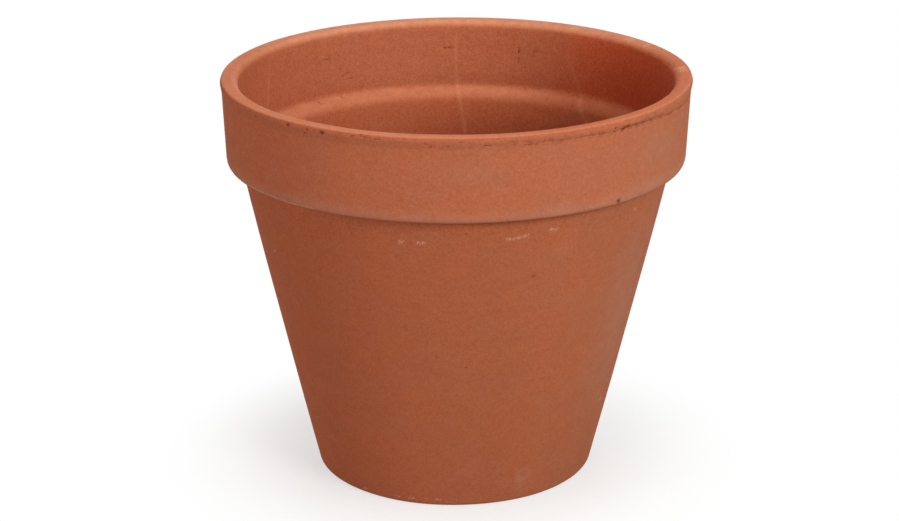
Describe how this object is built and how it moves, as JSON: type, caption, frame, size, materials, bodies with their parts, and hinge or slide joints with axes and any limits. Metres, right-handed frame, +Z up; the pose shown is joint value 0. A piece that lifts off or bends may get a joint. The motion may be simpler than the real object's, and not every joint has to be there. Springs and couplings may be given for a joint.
{
  "type": "terracotta flowerpot",
  "caption": "Tapered, unglazed terracotta flowerpot with a rounded lip, a tall overhanging collar, a shoulder inside and a drained floor, for growing a plant in soil.",
  "frame": {"origin": "centre of the underside, on the pot's axis, at the level it stands on", "axes": "+Z up along the pot's axis; X and Y are interchangeable because the pot is round"},
  "size_m": [0.31, 0.31, 0.27],
  "materials": {
    "terracotta": "unglazed matt fired clay, fine grained"
  },
  "bodies": {
    "root": {"drained_base": "terracotta", "tapered_wall": "terracotta", "rim_collar": "terracotta"}
  },
  "joints": []
}
